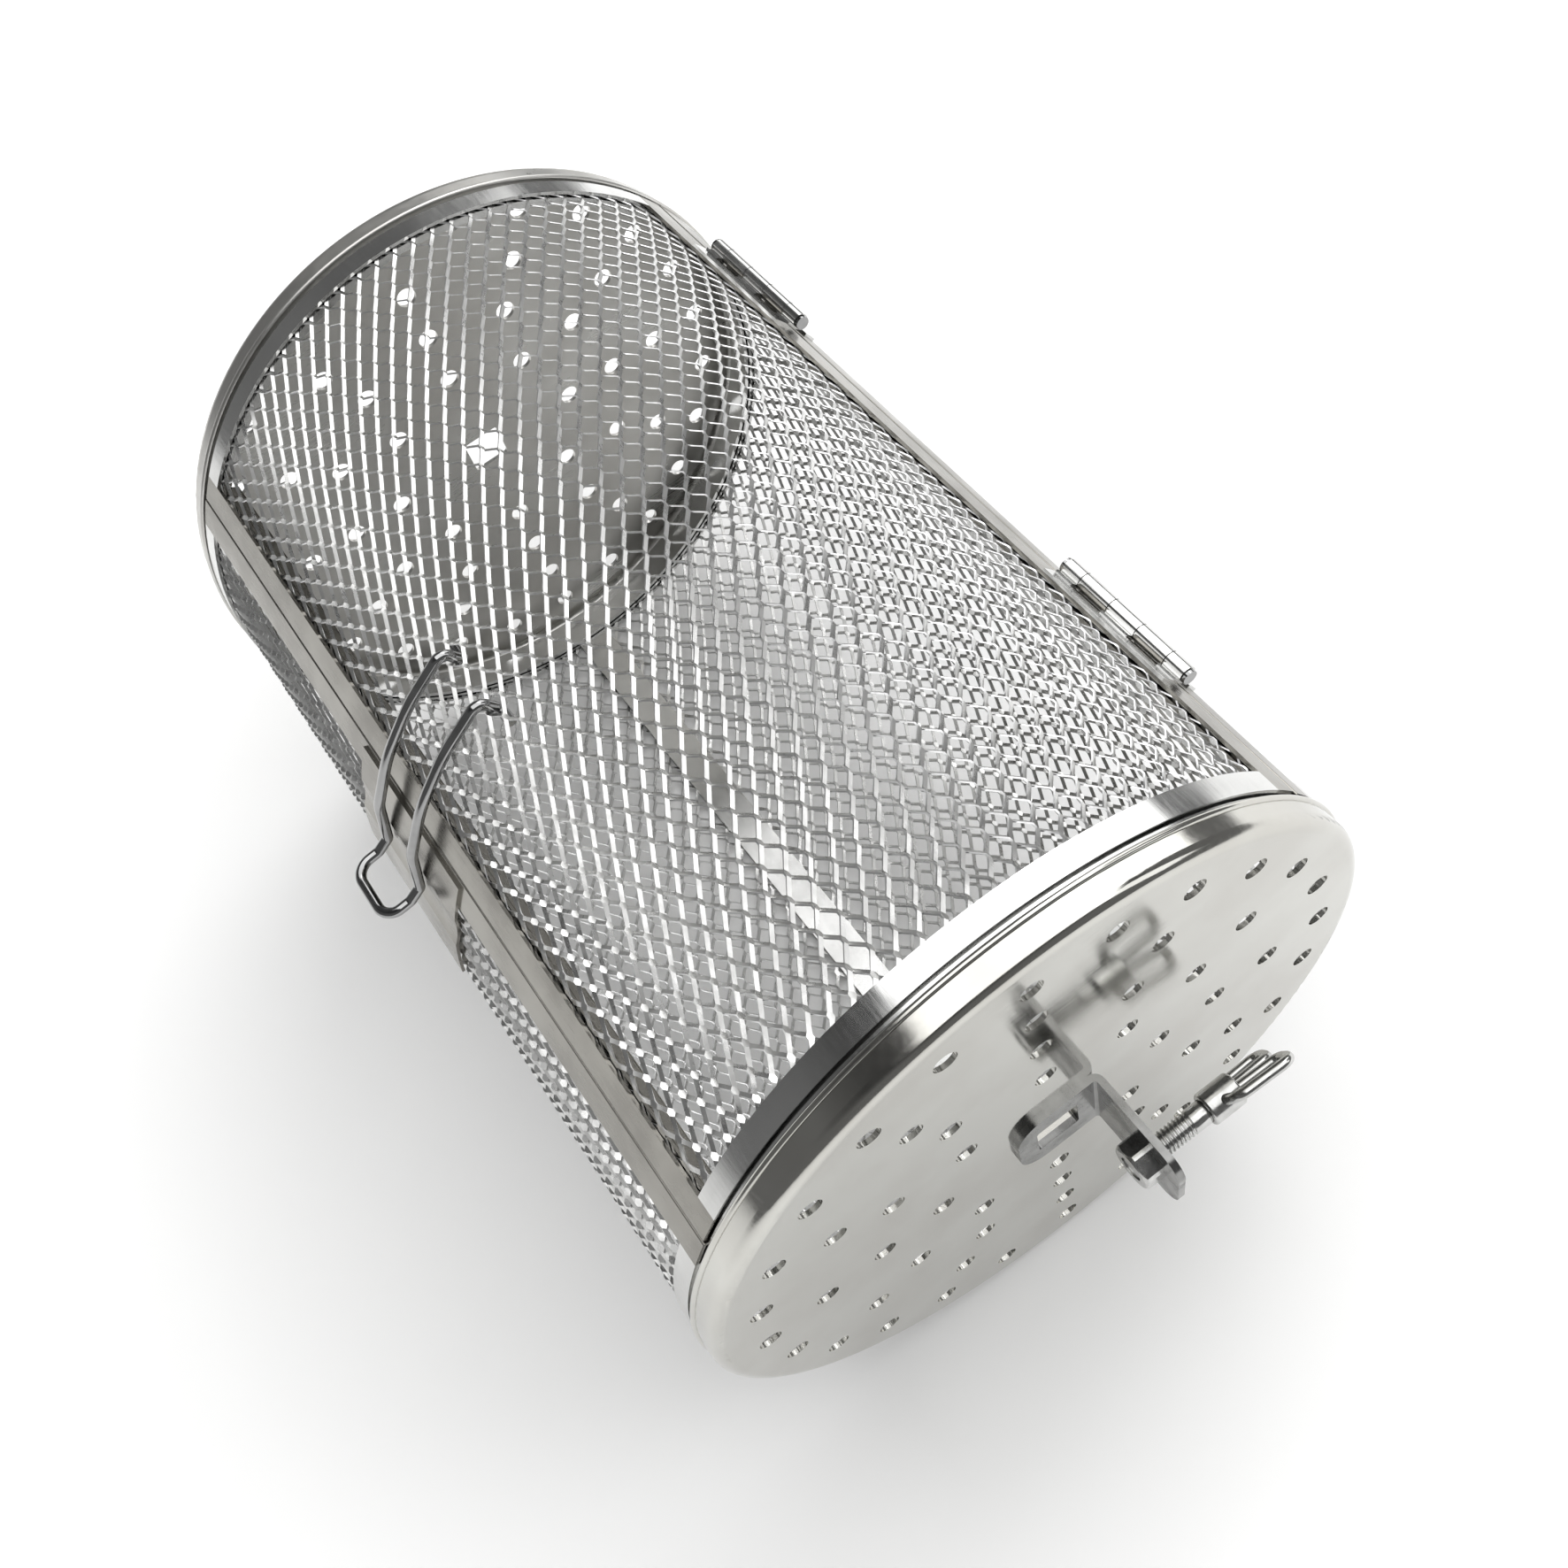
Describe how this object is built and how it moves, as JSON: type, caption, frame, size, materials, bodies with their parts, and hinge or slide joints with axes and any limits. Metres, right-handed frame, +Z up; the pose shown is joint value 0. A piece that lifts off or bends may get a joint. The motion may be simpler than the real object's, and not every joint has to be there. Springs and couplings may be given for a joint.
{
  "type": "rotisserie basket",
  "caption": "Cylindrical expanded-mesh rotisserie basket with a hinged door, a spring-wire latch, perforated end plates and a wing-screw clamp for a square spit.",
  "frame": {"origin": "centre of the drum, on the spit axis, midway between the end plates", "axes": "+X along the spit axis towards the clamp, +Z up through the middle of the closed door, hinges on the +Y side, latch on the -Y side"},
  "size_m": [0.199, 0.1254, 0.1208],
  "materials": {
    "steel_sheet": "bright rolled stainless sheet, lightly brushed",
    "steel_mesh": "bright expanded stainless mesh",
    "steel_wire": "polished drawn wire",
    "plated_hardware": "bright plated hardware"
  },
  "bodies": {
    "drum": {"front_end_plate": "steel_sheet", "rear_end_plate": "steel_sheet", "front_hoop": "steel_sheet", "rear_hoop": "steel_sheet", "body_band_front": "steel_sheet", "body_band_rear": "steel_sheet", "body_rail_hinge_side": "steel_sheet", "body_rail_latch_side": "steel_sheet", "seam_strip": "steel_sheet", "catch_plate": "steel_sheet", "body_mesh_hinge_side": "steel_mesh", "body_mesh_latch_side": "steel_mesh", "hinge_front_body_leaf": "steel_sheet", "hinge_front_pin": "steel_wire", "hinge_rear_body_leaf": "steel_sheet", "hinge_rear_pin": "steel_wire", "clamp_bracket": "steel_sheet", "clamp_nut": "plated_hardware"},
    "door": {"door_mesh": "steel_mesh", "door_band_front": "steel_sheet", "door_band_rear": "steel_sheet", "door_rail_hinge_side": "steel_sheet", "door_rail_latch_side": "steel_sheet", "hinge_front_door_leaf": "steel_sheet", "hinge_rear_door_leaf": "steel_sheet"},
    "latch": {"latch_wire": "steel_wire"},
    "screw": {"screw_shank": "plated_hardware"},
    "wing": {"wing_head": "plated_hardware"}
  },
  "joints": [
    {"name": "door_hinge", "type": "hinge", "parent": "drum", "child": "door", "pos_m": [0, 0.05153, 0.03411], "axis": [-1, 0, 0], "range_deg": [0, 150]},
    {"name": "latch_pivot", "type": "hinge", "parent": "door", "child": "latch", "pos_m": [0, -0.03087, 0.04827], "axis": [-1, 0, 0], "range_deg": [0, 30]},
    {"name": "screw_travel", "type": "slide", "parent": "drum", "child": "screw", "axis": [0, -1, 0], "range_m": [0, 0.009]},
    {"name": "screw_turn", "type": "hinge", "parent": "screw", "child": "wing", "pos_m": [0.1024, 0.021, 0], "axis": [0, -1, 0], "range_deg": [0, 4630]}
  ],
  "couplings": [
    {"joint": "screw_turn", "follows": "screw_travel", "rad_per_m": 8976}
  ]
}
